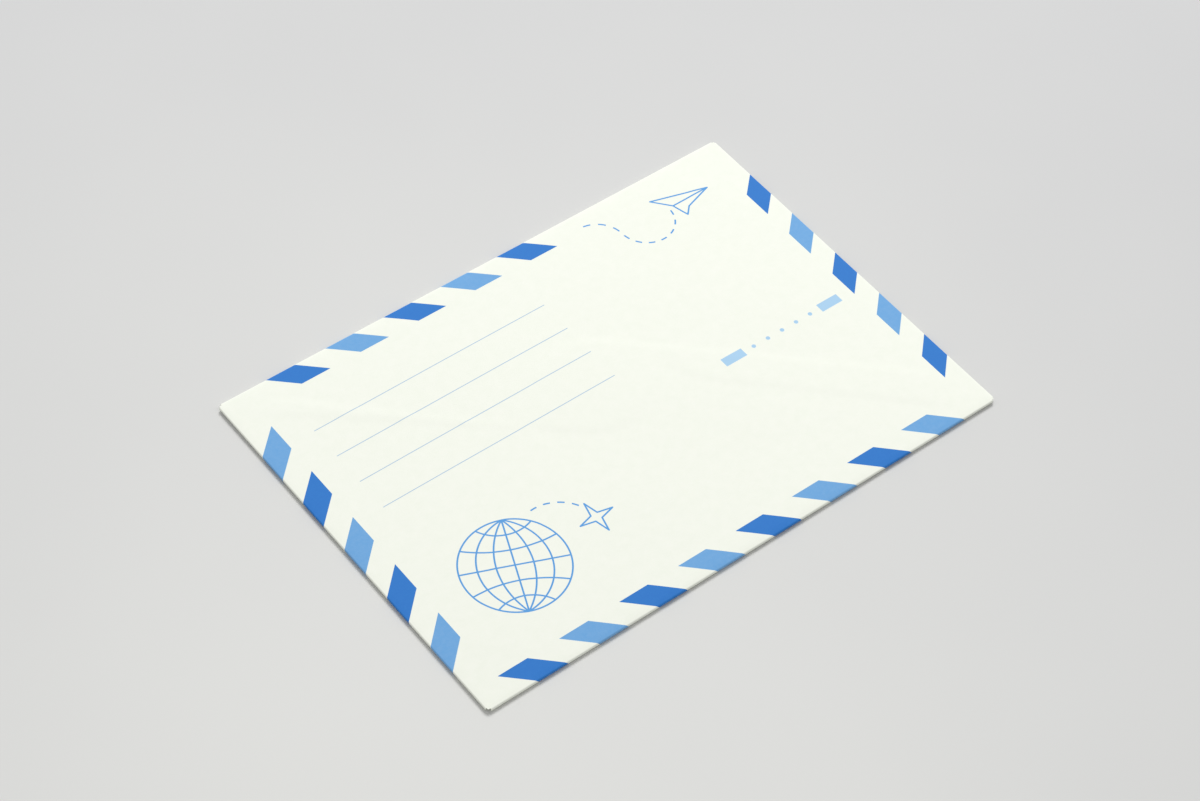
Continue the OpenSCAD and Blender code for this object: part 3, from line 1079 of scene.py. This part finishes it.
def build_floor():
    sweep = bpy.data.meshes.new("floor")
    signs = [(-1, -1), (1, -1), (1, 1), (-1, 1)]
    corners = [(FLOOR_REACH * x, FLOOR_REACH * y, 0) for x, y in signs]
    sweep.from_pydata(corners, [], [(0, 1, 2, 3)])
    floor = bpy.data.objects.new("floor", sweep)
    bpy.context.scene.collection.objects.link(floor)
    material = bpy.data.materials.new("sweep_with_painted_light")
    material.use_nodes = True
    tree = material.node_tree
    shader = tree.nodes["Principled BSDF"]
    place = add(tree, "ShaderNodeTexCoord").outputs["Object"]
    # Painted pool of light: the floor's tone darkens with the distance from one point.
    away = add(tree, "ShaderNodeVectorMath", {"operation": "DISTANCE"}, _0=place, _1=PAINTED_LIGHT_CENTRE)
    soft = {"interpolation_type": "SMOOTHSTEP"}
    painted_pool = dict(Value=away.outputs["Value"], From_Max=PAINTED_LIGHT_REACH)
    painted_light_fall_off = add(tree, "ShaderNodeMapRange", soft, **painted_pool).outputs["Result"]
    cloud = noise(tree, place, scale=6.0, detail=3.0, roughness=0.5)
    cloud = tuned(tree, cloud, low=0.3, high=0.7, start=-0.1, end=0.1)
    tone = mixed(tree, maths(tree, "ADD", painted_light_fall_off, cloud), FLOOR_IN_PAINTED_LIGHT, FLOOR_IN_PAINTED_SHADE)
    tree.links.new(tone, shader.inputs["Base Color"])
    shader.inputs["Roughness"].default_value = 0.9
    sweep.materials.append(material)
    return floor


floor = build_floor()
print("floor:", [round(side, 1) for side in floor.dimensions[:2]], "m")

# %% [markdown]
# The light in the photo is large and soft, and stands behind the object, a little to the right.
# The near edges are in shade and throw a thin soft shadow towards the viewer. An even world gives
# most of the light, and one big area lamp gives the direction.

# %% Light
WORLD_COLOUR = (0.99, 0.995, 1.0, 1)
WORLD_STRENGTH = 0.52
KEY = dict(place=(0.95, 1.05, 1.45), size=0.9, power=29.5)

world = bpy.data.worlds.new("studio")
bpy.context.scene.world = world
world.use_nodes = True
background = world.node_tree.nodes["Background"]
background.inputs["Color"].default_value = WORLD_COLOUR
background.inputs["Strength"].default_value = WORLD_STRENGTH

light = bpy.data.lights.new("key_light", "AREA")
light.shape, light.size, light.energy = "DISK", KEY["size"], KEY["power"]
lamp = bpy.data.objects.new("key_light", light)
lamp.location = KEY["place"]
lamp.rotation_euler = (-Vector(KEY["place"])).to_track_quat("-Z", "Y").to_euler()
bpy.context.scene.collection.objects.link(lamp)
print("light: an even world at", WORLD_STRENGTH, "and one lamp of", KEY["power"], "W")

# %% [markdown]
# The camera's place was worked out from the four corners of the envelope in the photo, which a
# pinhole camera must map to their pixels. Two of its directions are given and the third follows, so
# they are written as a matrix and not as angles.

# %% Camera
LENS = 88.13
CAMERA_PLACE = (-0.31780, -0.35677, 0.57125 + TOP_Z * MM)
LOOKS_ALONG = (0.42431, 0.48154, -0.76686)
TO_THE_RIGHT = (0.78640, -0.61582, 0.04841)

camera_data = bpy.data.cameras.new("camera")
camera_data.lens = LENS
camera_data.sensor_width = 36
camera_data.sensor_fit = "HORIZONTAL"
camera_data.clip_start = 0.01
camera = bpy.data.objects.new("camera", camera_data)
forward = Vector(LOOKS_ALONG).normalized()
right = Vector(TO_THE_RIGHT)
right = (right - right.dot(forward) * forward).normalized()
up = right.cross(forward)
turn = Matrix((right, up, -forward)).transposed().to_4x4()
camera.matrix_world = Matrix.Translation(CAMERA_PLACE) @ turn
bpy.context.scene.collection.objects.link(camera)
bpy.context.scene.camera = camera
bpy.context.scene.view_settings.view_transform = "Standard"
print("camera at", [round(v, 3) for v in camera.location], "m, lens", LENS, "mm")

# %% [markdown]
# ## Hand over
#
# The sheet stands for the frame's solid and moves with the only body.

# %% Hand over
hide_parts("envelope")
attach(sheet, "root")
bpy.context.view_layer.update()
